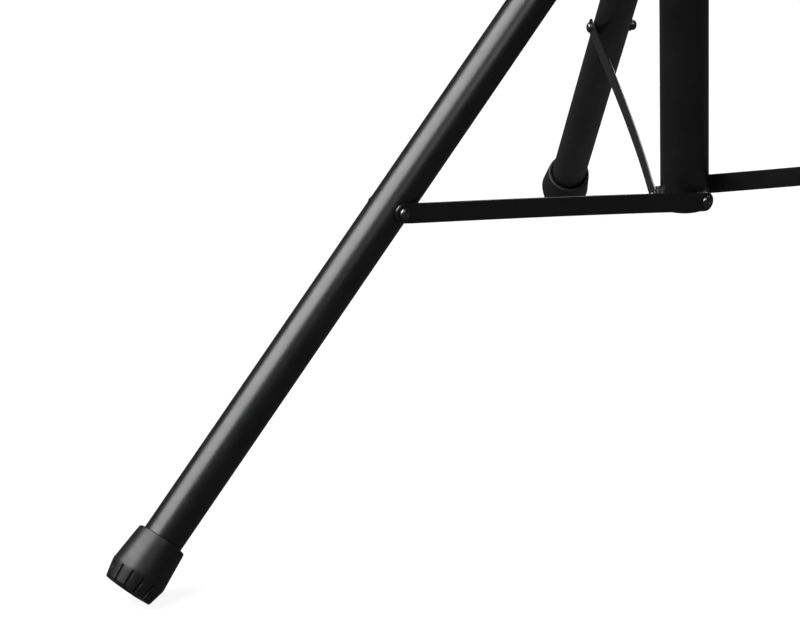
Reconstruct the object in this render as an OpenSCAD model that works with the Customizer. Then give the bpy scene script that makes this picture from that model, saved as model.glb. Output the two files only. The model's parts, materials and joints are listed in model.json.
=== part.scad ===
// Folding music stand: three-legged base with a sliding hub, telescoping column and tilting desk.
// Millimetres, +Z up, origin at floor level in the middle of the box around the three feet.
// The reader stands on the -Y side.

/* [Tripod] */
// Outside diameter of the leg tubes
leg_d = 20.1; // [19.5:0.1:20.2]
// Wall thickness of the leg tubes
leg_wall = 1.5; // [1.2:0.1:1.6]
// Angle between an open leg and the vertical
leg_angle = 46.8; // [45:0.1:48]
// Distance from the column's axis to a leg's axis, at the height of the brace rivets
leg_reach = 228; // [220:1:236]
// Height of the brace rivets above the floor
rivet_height = 121; // [118:1:126]
// Height of the knee bolts, where a brace meets its leg, above the brace rivets
knee_rise = 36.8; // [35:0.1:40]
// Distance from the column's axis to the leg pivots on the hub
hub_reach = 30; // [30:0.5:32]

/* [Braces] */
// Width of the flat bar
brace_width = 9.8; // [8.5:0.1:10]
// Thickness of the flat bar
brace_thickness = 1.5; // [1.2:0.1:1.6]
// Sideways offset of the bar's middle plane at the leg
brace_leg_offset = 11.3; // [11.1:0.05:11.5]
// Sideways offset of the bar's middle plane at the column
brace_post_offset = 15.6; // [15.5:0.1:16]

/* [Feet] */
// Length of a rubber foot along the leg
foot_length = 28.4; // [26:0.2:30]
// Radius at the foot's top rim
foot_rim_r = 12.3; // [11.9:0.1:12.5]
// Largest radius of the foot
foot_belly_r = 14.1; // [13.6:0.1:14.3]
// Radius of the foot's end face
foot_end_r = 12.5; // [12.1:0.1:12.8]
// Number of grooves around the lower band
foot_grooves = 14; // [12:1:16]

/* [Column] */
// Outside diameter of the lower tube
lower_d = 24.7; // [24.2:0.1:24.8]
// Wall thickness of both column tubes
column_wall = 1.5; // [1.2:0.1:1.6]
// Height of the lower tube's top above the floor
lower_top = 611; // [600:1:630]
// Outside diameter of the upper tube
upper_d = 20; // [19.5:0.1:20.2]
// Length of the upper tube
upper_length = 575; // [560:5:580]
// How far the upper tube stands above its lowest position
upper_raise = 100; // [80:5:150]

/* [Desk] */
// Width of the desk
desk_width = 500; // [440:5:520]
// Height of the desk's back above the ledge
desk_height = 340; // [300:5:360]
// Depth of the ledge
ledge_depth = 62; // [50:1:70]
// Height of the lip along the ledge's front edge
lip_height = 14; // [10:1:18]
// Sheet thickness
sheet = 1.2; // [1:0.1:1.5]
// Angle of the desk's back to the vertical
desk_lean = 20; // [10:1:30]

/* [Hidden] */
$fn = 96;

// Clearances: sliding or turning fit, and a loose washer fit
fit = 0.05;
loose = 0.1;

// Leg directions, seen from above, and the node name that each one starts with
legs = [["front_left", 210], ["front_right", 330], ["rear", 90]];

// Tripod linkage: knee position, leg pivot on the hub, foot end
leg_r = leg_d / 2;
knee_r = leg_reach - knee_rise * tan(leg_angle);
knee_z = rivet_height + knee_rise;
knee_s = (knee_r - hub_reach) / sin(leg_angle);
hub_z = knee_z + knee_s * cos(leg_angle);
foot_flat = 0.5;
foot_edge = 0.6;
foot_end_z = foot_end_r * sin(leg_angle) - foot_edge * cos(leg_angle) - foot_flat;
leg_length = (hub_z - foot_end_z) / cos(leg_angle);
brace_length = norm([knee_r, knee_rise]);
brace_slope = atan2(knee_rise, knee_r);

// Middle of the box around the feet, measured from the column's axis
foot_reach = hub_reach + (leg_length - foot_edge) * sin(leg_angle);
rear_reach = foot_reach + foot_end_r * cos(leg_angle);
front_reach = foot_reach / 2 + foot_end_r * sqrt(1 - pow(sin(leg_angle) / 2, 2));
footprint_mid = (rear_reach - front_reach) / 2;

// Radii of the pins
knee_bolt_r = 2.5;
rivet_r = 2.4;
hub_bolt_r = 3;
stud_r = 4;
tilt_bolt_r = 4;

// Domed heads of the knee bolts and rivets, domed nuts of the knee bolts
head_r = 2.95;
head_h = 2;
dimple_r = 0.9;
dimple_depth = 0.4;
nut_flange_r = 3.4;
nut_flange_h = 0.8;
nut_r = 3;
nut_h = 2.2;

// Heads, nuts and keys of the hub bolts and the tilt bolt; hexagons are given across the corners
hub_head_r = 5.5;
hub_head_h = 3.2;
hub_nut_d = 11.5;
hub_nut_h = 5;
hub_key_d = 4.6;
hub_key_depth = 1.8;
tilt_hex_d = 15;
tilt_hex_h = 5.5;
insert_d = 10.9;
insert_h = 5.9;

// Leg tube and plug, measured along the leg from the hub pivot
tube_start = 16;
foot_floor = 7;
tongue_r = 9;
tongue_half = 4;
plug_shoulder = 13;
plug_depth = 24;

// Foot outline, measured up from the end face
foot_belly_s = 9;
groove_width = 1.1;
groove_depth = 0.9;
groove_height = 7.5;

// Braces: ends stay straight for this much beyond their radius, then bend at two stations
brace_straight = 1.4;
bend_near_column = 0.36;
bend_near_leg = 0.68;
bend_step = 1.25;
bend_trace = 0.2;

// Column
lower_r = lower_d / 2;
lower_bore_r = lower_r - column_wall;
lower_bottom = rivet_height - 5;
plug_flange = 1.5;
column_plug_depth = 13;
upper_r = upper_d / 2;
upper_bore_r = upper_r - column_wall;
slide_length = 13.9;
slide_spigot = 20;
slide_bore_r = 5;
upper_bottom = lower_bottom + 28 + upper_raise;
upper_top = upper_bottom + upper_length;

// Brace pivots on the column
standoff_r = 5.3;
rivet_tail = 7;
brace_inner_face = brace_post_offset - brace_thickness / 2;
brace_outer_face = brace_post_offset + brace_thickness / 2;

// Hub
sleeve_r = 18.5;
liner_r = 13.75;
liner_flange = 1.2;
hub_below = 16;
hub_above = 42;
ear_r = 9.5;
fork_half = 10;
fork_gap = 5;
washer_t = 0.85;
washer_r = 7.5;
hub_knob_z = hub_z + 26;
boss_r = 9;
boss_reach = 28;
ring_r = 15.2;
ring_h = 7;

// Height clamp
clamp_r = 18;
clamp_bottom = lower_top - 28;
clamp_top = lower_top + 24;
flange_t = 2;
bushing_slot = 2;
screw_r = 2;
screw_key_d = 2.3;
screw_angles = [150, 270];
height_knob_z = lower_top + 9;
screw_drop = 18;

// Knobs: stem and star-shaped grip
stem_r = 8;
stem_h = 8;
grip_r = 15;
grip_h = 13;
knob_gap = 1;
knob_bore = stem_h + 7.5;

// Tilt head and desk
tilt_z = upper_top + 30;
head_spigot = 32;
head_collar = 8.5;
tongue_x = 8;
tilt_r = 11;
friction_r = 10;
friction_t = 0.9;
bolt_washer_r = 8.5;
desk_ear_in = 9;
desk_ear_t = 3;
desk_ear_r = 12;
panel_back = -24;
plate_t = 3;
plate_x = 45;
plate_w = 35;
plate_corner = 8;
rivet_x = 33;
rivet_w = 24;
ledge_drop = 100;
bend_r = 3;
corner_r = 20;
rim_r = 2.2;
desk_rivet_r = 2;
desk_head_r = 3.4;
desk_head_h = 1.6;
desk_outside = desk_ear_in + desk_ear_t;
bolt_washer_t = 1.2;
tilt_knob_x = desk_outside + bolt_washer_t + 3 * fit;

// ---------- shared shapes ----------

module tube(d, wall, h) {
    difference() {
        cylinder(d = d, h = h);
        translate([0, 0, -1]) cylinder(d = d - 2 * wall, h = h + 2);
    }
}

module ring(r_out, r_in, h) {
    difference() {
        cylinder(r = r_out, h = h);
        translate([0, 0, -1]) cylinder(r = r_in, h = h + 2);
    }
}

// Domed head standing on z = 0, with a small dimple in its top
module dome_head(r, h) {
    ball_r = (r * r + h * h) / (2 * h);
    difference() {
        intersection() {
            translate([0, 0, h - ball_r]) sphere(r = ball_r);
            cylinder(r = r, h = 2 * h);
        }
        translate([0, 0, h - dimple_depth]) cylinder(r = dimple_r, h = 1);
    }
}

// Round bar across the leg plane, from y0 to y1
module cross_bar(r, y0, y1) {
    translate([0, y1, 0]) rotate([90, 0, 0]) cylinder(r = r, h = y1 - y0);
}

// Moves its children from the column's axis to their place in the row
module in_row() {
    translate([0, -footprint_mid, 0]) children();
}

// Puts its children in the leg's own plane: X outwards, Y to the leg's left side, Z up
module leg_plane(azimuth) {
    rotate([0, 0, azimuth]) children();
}

// Puts its children on an open leg: +Z runs down the leg from the hub pivot
module along_leg(azimuth) {
    leg_plane(azimuth) translate([hub_reach, 0, hub_z]) rotate([0, 180 - leg_angle, 0]) children();
}

// Puts its children on an open brace: +X runs from the rivet to the knee
module along_brace(azimuth) {
    leg_plane(azimuth) translate([0, 0, rivet_height]) rotate([0, -brace_slope, 0]) children();
}

// Turns +Z to point outwards along the brace rivet's axis
module on_rivet(azimuth) {
    leg_plane(azimuth) translate([0, 0, rivet_height]) rotate([-90, 0, 0]) children();
}

// Star knob along +Z: round stem below a grip with finger hollows, bored for a stud
module star_knob(lobes, bore_r, bore_depth) {
    hollow_r = grip_r * 0.42;
    difference() {
        union() {
            cylinder(r = stem_r, h = stem_h + 1);
            translate([0, 0, stem_h]) rotate_extrude() polygon([
                [0, 0], [grip_r - 2, 0], [grip_r, 2], [grip_r, grip_h - 3],
                [grip_r - 1.2, grip_h - 1.2], [grip_r - 4, grip_h], [0, grip_h + 1]
            ]);
        }
        for (i = [0 : lobes - 1])
            rotate([0, 0, i * 360 / lobes + 180 / lobes])
                translate([grip_r * 1.2, 0, stem_h - 1]) cylinder(r = hollow_r, h = grip_h + 3);
        translate([0, 0, -1]) cylinder(r = bore_r, h = bore_depth + 1);
    }
}

// ---------- column, fixed part ----------

module lower_tube() {
    color("#1c1c1e") difference() {
        translate([0, 0, lower_bottom]) tube(lower_d, column_wall, lower_top - lower_bottom);
        for (leg = legs) on_rivet(leg[1]) cylinder(r = rivet_r + fit, h = lower_r + 1);
        for (a = screw_angles)
            translate([0, 0, lower_top - screw_drop]) rotate([0, 90, a])
                translate([0, 0, lower_bore_r - 1]) cylinder(r = screw_r + fit, h = column_wall + 2);
    }
}

module lower_tube_plug() {
    color("#101011") difference() {
        union() {
            translate([0, 0, lower_bottom - plug_flange]) rotate_extrude() polygon([
                [0, 0], [lower_r - 1.2, 0], [lower_r - 0.3, 0.5], [lower_r, plug_flange - fit],
                [0, plug_flange - fit]
            ]);
            translate([0, 0, lower_bottom - 0.5])
                cylinder(r = lower_bore_r - fit, h = column_plug_depth + 0.5);
        }
        translate([0, 0, lower_bottom]) cylinder(r = rivet_tail - 0.5, h = 20);
        for (leg = legs) on_rivet(leg[1]) cylinder(r = rivet_r + fit, h = lower_r);
    }
}

module brace_standoffs() {
    color("#242426") for (leg = legs) difference() {
        on_rivet(leg[1]) translate([0, 0, lower_r - 2]) ring(standoff_r, rivet_r + fit,
            brace_inner_face - fit - lower_r + 2);
        translate([0, 0, lower_bottom - 10]) cylinder(r = lower_r + 0.02, h = 40);
    }
}

module brace_rivets() {
    color("#2b2b2d") for (leg = legs) on_rivet(leg[1]) {
        translate([0, 0, rivet_tail]) cylinder(r = rivet_r, h = brace_outer_face + loose - rivet_tail);
        translate([0, 0, brace_outer_face + loose]) dome_head(head_r + 0.15, head_h);
    }
}

module hub_stop_ring() {
    color("#151516") translate([0, 0, hub_z - hub_below - 0.3 - ring_h]) difference() {
        rotate_extrude() polygon([
            [lower_r + 0.02, 0], [ring_r - 0.8, 0], [ring_r, 0.8], [ring_r, ring_h - 0.8],
            [ring_r - 0.8, ring_h], [lower_r + 0.02, ring_h]
        ]);
        rotate([90, 0, 0]) translate([0, ring_h / 2, lower_r + 1]) cylinder(r = 1.25, h = 4);
    }
}

module height_clamp_body() {
    color("#161617") difference() {
        union() {
            translate([0, 0, clamp_bottom]) rotate_extrude() polygon([
                [0, 0], [clamp_r - 2.5, 0], [clamp_r - 1, 1.2], [clamp_r, 5],
                [clamp_r, clamp_top - clamp_bottom - 1.5], [clamp_r - 1.5, clamp_top - clamp_bottom],
                [0, clamp_top - clamp_bottom]
            ]);
            translate([0, 0, height_knob_z]) rotate([0, 90, 0]) cylinder(r = boss_r, h = boss_reach);
        }
        translate([0, 0, clamp_bottom - 1]) cylinder(r = lower_r + fit, h = clamp_top);
        translate([0, 0, height_knob_z]) rotate([0, 90, 0])
            cylinder(r = stud_r + fit, h = boss_reach + 1);
        for (a = screw_angles)
            translate([0, 0, lower_top - screw_drop]) rotate([0, 90, a])
                cylinder(r = screw_r + fit, h = clamp_r + 1);
    }
}

module height_clamp_bushing() {
    bore = upper_r + fit;
    color("#0f0f10") difference() {
        union() {
            translate([0, 0, lower_top + 0.2]) cylinder(r = lower_r, h = clamp_top - lower_top);
            translate([0, 0, clamp_top + 0.05]) rotate_extrude() polygon([
                [0, 0], [clamp_r - 2, 0], [clamp_r - 2, flange_t - 0.8], [clamp_r - 2.8, flange_t],
                [0, flange_t]
            ]);
        }
        translate([0, 0, lower_top - 1]) cylinder(r = bore, h = clamp_top - lower_top + 10);
        translate([-clamp_r, -bushing_slot / 2, lower_top - 1])
            cube([clamp_r, bushing_slot, clamp_top - lower_top + 10]);
    }
}

module height_clamp_screws() {
    color("#3a3a3c") for (a = screw_angles)
        translate([0, 0, lower_top - screw_drop]) rotate([0, 90, a]) difference() {
            translate([0, 0, lower_bore_r + 0.3]) cylinder(r = screw_r, h = clamp_r - lower_bore_r - 1);
            translate([0, 0, clamp_r - 2.2]) cylinder(d = screw_key_d, h = 3, $fn = 6);
        }
}

module clamp_stud(start) {
    translate([0, 0, start]) cylinder(r = stud_r, h = boss_reach + knob_gap + knob_bore - 0.5 - start);
}

module height_knob() {
    color("#121213") translate([0, 0, height_knob_z]) rotate([0, 90, 0])
        translate([0, 0, boss_reach + knob_gap]) star_knob(5, stud_r + fit, knob_bore);
}

module height_knob_stud() {
    color("#8a8a8c") translate([0, 0, height_knob_z]) rotate([0, 90, 0]) clamp_stud(lower_r + 0.3);
}

// ---------- sliding leg hub ----------

module leg_hub() {
    color("#19191a") difference() {
        union() {
            translate([0, 0, hub_z - hub_below]) rotate_extrude() polygon([
                [0, 0], [sleeve_r - 1.5, 0], [sleeve_r, 1.5], [sleeve_r, hub_below + hub_above - 4],
                [sleeve_r - 1, hub_below + hub_above - 1.2], [sleeve_r - 3, hub_below + hub_above],
                [0, hub_below + hub_above]
            ]);
            for (leg = legs) leg_plane(leg[1]) translate([0, 0, hub_z]) {
                translate([liner_r, -fork_half, -ear_r])
                    cube([hub_reach - liner_r, 2 * fork_half, 2 * ear_r]);
                translate([hub_reach, 0, 0]) cross_bar(ear_r, -fork_half, fork_half);
            }
            translate([0, 0, hub_knob_z]) rotate([90, 0, 0]) cylinder(r = boss_r, h = boss_reach);
        }
        translate([0, 0, hub_z - hub_below - 1])
            cylinder(r = liner_r + fit, h = hub_below + hub_above + 2);
        for (leg = legs) leg_plane(leg[1]) translate([0, 0, hub_z]) {
            translate([sleeve_r + 1, -fork_gap, -ear_r - 2]) cube([40, 2 * fork_gap, 2 * ear_r + 4]);
            translate([hub_reach, 0, 0]) cross_bar(hub_bolt_r + fit, -fork_half - 1, fork_half + 1);
        }
        translate([0, 0, hub_knob_z]) rotate([90, 0, 0]) cylinder(r = stud_r + fit, h = boss_reach + 1);
    }
}

module hub_liner() {
    color("#2f2f31") difference() {
        union() {
            translate([0, 0, hub_z - hub_below + 0.5])
                cylinder(r = liner_r, h = hub_below + hub_above);
            translate([0, 0, hub_z + hub_above + fit]) cylinder(r = liner_r + liner_flange, h = 1);
        }
        translate([0, 0, hub_z - hub_below - 1])
            cylinder(r = lower_r + fit, h = hub_below + hub_above + 4);
        translate([0, 0, hub_knob_z]) rotate([90, 0, 0]) cylinder(r = stud_r + fit, h = boss_reach);
    }
}

module hub_clamp_pad() {
    color("#b08d3c") difference() {
        translate([0, 0, hub_knob_z]) rotate([90, 0, 0]) cylinder(r = stud_r - 0.05, h = lower_r + 2.4);
        translate([0, 0, hub_z]) cylinder(r = lower_r + fit, h = hub_above);
    }
}

module hub_bolts() {
    color("#303032") for (leg = legs) leg_plane(leg[1]) translate([hub_reach, 0, hub_z]) {
        cross_bar(hub_bolt_r, -fork_half - hub_nut_h - 0.6, fork_half + 0.1);
        translate([0, fork_half + 0.05, 0]) rotate([-90, 0, 0]) difference() {
            dome_head(hub_head_r, hub_head_h);
            translate([0, 0, hub_head_h - hub_key_depth]) cylinder(d = hub_key_d, h = 4, $fn = 6);
        }
    }
}

module hub_nuts() {
    color("#303032") for (leg = legs) leg_plane(leg[1]) translate([hub_reach, -fork_half - 0.05, hub_z])
        rotate([90, 0, 0]) difference() {
            intersection() {
                cylinder(d = hub_nut_d, h = hub_nut_h, $fn = 6);
                rotate_extrude() polygon([
                    [0, 0], [5.6, 0], [5.8, hub_nut_h - 1.8], [5, hub_nut_h], [0, hub_nut_h]
                ]);
            }
            translate([0, 0, -1]) cylinder(r = hub_bolt_r + fit, h = 8);
        }
}

module hub_washers() {
    color("#d8d8d4") for (leg = legs, side = [-1, 1])
        leg_plane(leg[1])
            translate([hub_reach, side * (tongue_half + fork_gap) / 2 + washer_t / 2, hub_z])
                rotate([90, 0, 0]) ring(washer_r, hub_bolt_r + fit, washer_t);
}

module hub_knob() {
    color("#121213") translate([0, 0, hub_knob_z]) rotate([90, 0, 0])
        translate([0, 0, boss_reach + knob_gap]) star_knob(5, stud_r + fit, knob_bore);
}

module hub_knob_stud() {
    color("#8a8a8c") translate([0, 0, hub_knob_z]) rotate([90, 0, 0]) clamp_stud(lower_r + 2.6);
}

// ---------- legs ----------

module leg_tube(azimuth) {
    color("#1c1c1e") along_leg(azimuth) difference() {
        translate([0, 0, tube_start]) tube(leg_d, leg_wall, leg_length - foot_floor - 0.5 - tube_start);
        translate([0, 0, knee_s]) cross_bar(knee_bolt_r + fit, -leg_r - 1, leg_r + 1);
    }
}

// Tongue for the hub's fork, a shoulder, and a spigot inside the tube
module leg_plug(azimuth) {
    color("#111112") along_leg(azimuth) difference() {
        union() {
            cross_bar(tongue_r, -tongue_half, tongue_half);
            translate([-tongue_r, -tongue_half, 0])
                cube([2 * tongue_r, 2 * tongue_half, plug_shoulder + 1]);
            translate([0, 0, plug_shoulder]) rotate_extrude() polygon([
                [0, 0], [leg_r - 1, 0], [leg_r, 1], [leg_r, tube_start - plug_shoulder - fit],
                [0, tube_start - plug_shoulder - fit]
            ]);
            translate([0, 0, tube_start - 1]) cylinder(r = leg_r - leg_wall - fit, h = plug_depth);
        }
        cross_bar(hub_bolt_r + fit, -tongue_half - 1, tongue_half + 1);
    }
}

// Rubber foot: flaring sleeve, rounded belly, tapering grooved band, flat end; worn flat at the floor
module foot(azimuth) {
    taper = atan2(foot_belly_r - foot_end_r, foot_belly_s);
    color("#1a1a1b") difference() {
        along_leg(azimuth) translate([0, 0, leg_length]) mirror([0, 0, 1]) difference() {
            rotate_extrude() polygon([
                [0, 0], [foot_end_r - foot_edge, 0], [foot_end_r, foot_edge],
                [foot_belly_r - 0.25, foot_belly_s - 1.6], [foot_belly_r, foot_belly_s],
                [foot_belly_r - 0.15, foot_belly_s + 1.8], [foot_rim_r + 0.35, foot_length - 3],
                [foot_rim_r, foot_length - 0.4], [foot_rim_r - 0.4, foot_length], [0, foot_length]
            ]);
            translate([0, 0, foot_floor]) cylinder(r = leg_r + fit, h = foot_length);
            for (i = [0 : foot_grooves - 1]) rotate([0, 0, i * 360 / foot_grooves])
                translate([foot_end_r, 0, -1]) rotate([0, taper, 0])
                    translate([-groove_depth, -groove_width / 2, 0])
                        cube([4, groove_width, groove_height + 1]);
        }
        translate([-leg_length, -leg_length, -50]) cube([2 * leg_length, 2 * leg_length, 50]);
    }
}

// Bolt through the leg tube; its end stops inside the brace's side of the tube wall
module knee_bolt(azimuth) {
    color("#2b2b2d") along_leg(azimuth) translate([0, 0, knee_s])
        cross_bar(knee_bolt_r, -leg_r - 2.6, leg_r - 0.1);
}

module knee_nut(azimuth) {
    color("#2b2b2d") along_leg(azimuth) translate([0, -leg_r - fit, knee_s]) rotate([90, 0, 0])
        difference() {
            union() {
                cylinder(r = nut_flange_r, h = nut_flange_h);
                cylinder(r = nut_r, h = nut_h);
                translate([0, 0, nut_h]) dome_head(nut_r, head_h);
            }
            translate([0, 0, -1]) cylinder(r = knee_bolt_r + fit, h = 3.7);
        }
}

// ---------- braces ----------

// Flat bar, round at both ends, bent outwards towards the column
module brace(azimuth) {
    half = brace_thickness / 2;
    pad = brace_width / 2 + brace_straight;
    bend = [
        [-pad, brace_post_offset], [pad, brace_post_offset],
        [bend_near_column * brace_length, brace_leg_offset + bend_step],
        [bend_near_leg * brace_length, brace_leg_offset + bend_trace],
        [brace_length - pad, brace_leg_offset], [brace_length + pad, brace_leg_offset]
    ];
    last = len(bend) - 1;
    plan = [
        for (p = bend) [p[0], p[1] + half],
        for (i = [0 : last]) [bend[last - i][0], bend[last - i][1] - half]
    ];
    color("#1d1d1f") along_brace(azimuth) difference() {
        intersection() {
            translate([0, 0, -brace_width]) linear_extrude(2 * brace_width) polygon(plan);
            union() {
                translate([0, 0, -brace_width / 2])
                    cube([brace_length, 2 * brace_post_offset, brace_width]);
                cross_bar(brace_width / 2, 0, 2 * brace_post_offset);
                translate([brace_length, 0, 0]) cross_bar(brace_width / 2, 0, 2 * brace_post_offset);
            }
        }
        cross_bar(rivet_r + fit, 0, 2 * brace_post_offset);
        translate([brace_length, 0, 0]) cross_bar(knee_bolt_r + fit, 0, 2 * brace_post_offset);
    }
}

module brace_bolt_head(azimuth) {
    inner = brace_leg_offset - brace_thickness / 2;
    outer = brace_leg_offset + brace_thickness / 2 + 0.05;
    color("#2b2b2d") along_brace(azimuth) translate([brace_length, 0, 0]) {
        cross_bar(knee_bolt_r, inner, outer + 0.1);
        translate([0, outer, 0]) rotate([-90, 0, 0]) dome_head(head_r, head_h);
    }
}

// ---------- column, sliding part ----------

module upper_tube_bushing() {
    color("#2f2f31") translate([0, 0, upper_bottom]) difference() {
        union() {
            translate([0, 0, -slide_length - loose]) rotate_extrude() polygon([
                [0, 0], [lower_bore_r - 1, 0], [lower_bore_r - fit, 1.5],
                [lower_bore_r - fit, slide_length], [0, slide_length]
            ]);
            translate([0, 0, -1]) cylinder(r = upper_bore_r - fit, h = slide_spigot + 1);
        }
        translate([0, 0, -slide_length - 1]) cylinder(r = slide_bore_r, h = slide_length + slide_spigot + 2);
    }
}

module upper_tube() {
    color("#1c1c1e") translate([0, 0, upper_bottom]) tube(upper_d, column_wall, upper_length);
}

module tilt_head() {
    color("#161617") difference() {
        union() {
            translate([0, 0, upper_top - head_spigot])
                cylinder(r = upper_bore_r - fit, h = head_spigot + 1);
            translate([0, 0, upper_top + fit]) rotate_extrude() polygon([
                [0, 0], [upper_r + 1, 0], [upper_r + 2, 1], [upper_r + 2, head_collar - 2.5],
                [upper_r, head_collar], [0, head_collar]
            ]);
            translate([-tongue_x, -tilt_r, upper_top + 1])
                cube([2 * tongue_x, 2 * tilt_r, tilt_z - upper_top - 1]);
            translate([-tongue_x, 0, tilt_z]) rotate([0, 90, 0]) cylinder(r = tilt_r, h = 2 * tongue_x);
        }
        translate([-tongue_x - 1, 0, tilt_z]) rotate([0, 90, 0])
            cylinder(r = tilt_bolt_r + fit, h = 2 * tongue_x + 2);
    }
}

module tilt_friction_washers() {
    color("#6b5a3a") for (side = [-1, 1])
        translate([side * (tongue_x + desk_ear_in) / 2 - friction_t / 2, 0, tilt_z]) rotate([0, 90, 0])
            ring(friction_r, tilt_bolt_r + fit, friction_t);
}

// ---------- desk: X across, Y to the desk's back, Z up the desk, origin on the tilt axis ----------

module desk_frame() {
    translate([0, 0, tilt_z]) rotate([-desk_lean, 0, 0]) children();
}

// Quarter bend of the sheet between the back and the ledge, and between the ledge and the lip
module bend(y, z, turn) {
    translate([-desk_width / 2 + corner_r / 4, y, z]) rotate([90, 0, 90])
        linear_extrude(desk_width - corner_r / 2) intersection() {
            difference() {
                circle(r = bend_r);
                circle(r = bend_r - sheet);
            }
            rotate(turn) square(bend_r + 1);
        }
}

module rim_corner(side) {
    top = desk_height - ledge_drop;
    translate([side * (desk_width / 2 - corner_r), panel_back - sheet / 2, top - corner_r])
        rotate([90, side > 0 ? 0 : -90, 0]) rotate_extrude(angle = 90)
            translate([corner_r - rim_r, 0]) circle(r = rim_r);
}

module desk_panel() {
    front = panel_back - sheet;
    half = desk_width / 2;
    top = desk_height - ledge_drop;
    floor_w = -ledge_drop;
    lip_y = front - ledge_depth;
    strip = desk_width - corner_r / 2;
    color("#1b1b1d") desk_frame() difference() {
        union() {
            // back, with its two round top corners
            translate([0, panel_back, 0]) rotate([90, 0, 0]) linear_extrude(sheet) {
                translate([-half + corner_r, floor_w + bend_r])
                    square([desk_width - 2 * corner_r, desk_height - bend_r]);
                translate([-half + rim_r, floor_w + bend_r])
                    square([desk_width - 2 * rim_r, desk_height - bend_r - corner_r]);
                for (side = [-1, 1])
                    translate([side * (half - corner_r), top - corner_r]) circle(r = corner_r - rim_r);
            }
            // ledge and lip
            translate([-strip / 2, lip_y + bend_r, floor_w])
                cube([strip, ledge_depth + sheet - 2 * bend_r, sheet]);
            translate([-strip / 2, lip_y, floor_w + bend_r])
                cube([strip, sheet, lip_height - bend_r - sheet]);
            bend(panel_back - bend_r, floor_w + bend_r, -90);
            bend(lip_y + bend_r, floor_w + bend_r, 180);
            // rolled edges: lip, both sides, top
            translate([-strip / 2, lip_y + sheet / 2, floor_w + lip_height - sheet]) rotate([0, 90, 0])
                cylinder(r = 1.5, h = strip);
            for (side = [-1, 1]) {
                translate([side * (half - rim_r), panel_back - sheet / 2, floor_w + bend_r])
                    cylinder(r = rim_r, h = desk_height - bend_r - corner_r);
                rim_corner(side);
            }
            translate([-half + corner_r, panel_back - sheet / 2, top - rim_r]) rotate([0, 90, 0])
                cylinder(r = rim_r, h = desk_width - 2 * corner_r);
        }
        for (x = [-rivet_x, rivet_x], w = [-rivet_w, rivet_w])
            translate([x, 0, w]) cross_bar(desk_rivet_r + fit, front - 1, panel_back + 1);
    }
}

module desk_bracket() {
    color("#161617") desk_frame() difference() {
        union() {
            translate([0, panel_back + plate_t + fit, 0]) rotate([90, 0, 0]) linear_extrude(plate_t) {
                square([2 * (plate_x - plate_corner), 2 * plate_w], center = true);
                square([2 * plate_x, 2 * (plate_w - plate_corner)], center = true);
                for (x = [-1, 1], w = [-1, 1])
                    translate([x * (plate_x - plate_corner), w * (plate_w - plate_corner)])
                        circle(r = plate_corner);
            }
            for (x = [-desk_outside, desk_ear_in]) translate([x, 0, 0]) {
                translate([0, panel_back + 1, -desk_ear_r])
                    cube([desk_ear_t, -panel_back - 1, 2 * desk_ear_r]);
                rotate([0, 90, 0]) cylinder(r = desk_ear_r, h = desk_ear_t);
            }
        }
        translate([-desk_outside - 1, 0, 0]) rotate([0, 90, 0])
            cylinder(r = tilt_bolt_r + fit, h = 2 * desk_outside + 2);
        for (x = [-rivet_x, rivet_x], w = [-rivet_w, rivet_w])
            translate([x, 0, w]) cross_bar(desk_rivet_r + fit, panel_back - 1, panel_back + plate_t + 1);
    }
}

// Flush at the front, where the music rests, and domed at the back
module desk_rivets() {
    color("#2b2b2d") desk_frame()
        for (x = [-rivet_x, rivet_x], w = [-rivet_w, rivet_w]) translate([x, 0, w]) {
            cross_bar(desk_rivet_r, panel_back - sheet + fit, panel_back + plate_t + 3 * fit);
            translate([0, panel_back + plate_t + 2 * fit, 0]) rotate([-90, 0, 0])
                dome_head(desk_head_r, desk_head_h);
        }
}

module tilt_bolt() {
    color("#3a3a3c") desk_frame() {
        translate([-desk_outside - fit, 0, 0]) rotate([0, -90, 0]) intersection() {
            cylinder(d = tilt_hex_d, h = tilt_hex_h, $fn = 6);
            rotate_extrude() polygon([
                [0, 0], [tilt_hex_d / 2 + 0.1, 0], [tilt_hex_d / 2 + 0.1, tilt_hex_h - 1.3],
                [tilt_hex_d / 2 - 1.2, tilt_hex_h], [0, tilt_hex_h]
            ]);
        }
        translate([-desk_outside - 1, 0, 0]) rotate([0, 90, 0])
            cylinder(r = tilt_bolt_r, h = tilt_knob_x + knob_bore + desk_outside + 0.5);
    }
}

module tilt_bolt_washer() {
    color("#77777a") desk_frame() translate([desk_outside + fit, 0, 0]) rotate([0, 90, 0])
        ring(bolt_washer_r, tilt_bolt_r + fit, bolt_washer_t);
}

module tilt_knob() {
    color("#121213") desk_frame() translate([tilt_knob_x, 0, 0]) rotate([0, 90, 0]) difference() {
        star_knob(5, tilt_bolt_r + fit, knob_bore);
        translate([0, 0, -1]) cylinder(d = insert_d + 0.1, h = insert_h + 1.1, $fn = 6);
    }
}

module tilt_knob_insert() {
    color("#b08d3c") desk_frame() translate([tilt_knob_x, 0, 0]) rotate([0, 90, 0]) difference() {
        cylinder(d = insert_d, h = insert_h, $fn = 6);
        translate([0, 0, -1]) cylinder(r = tilt_bolt_r + fit, h = insert_h + 2);
    }
}

// ---------- nodes ----------

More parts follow.
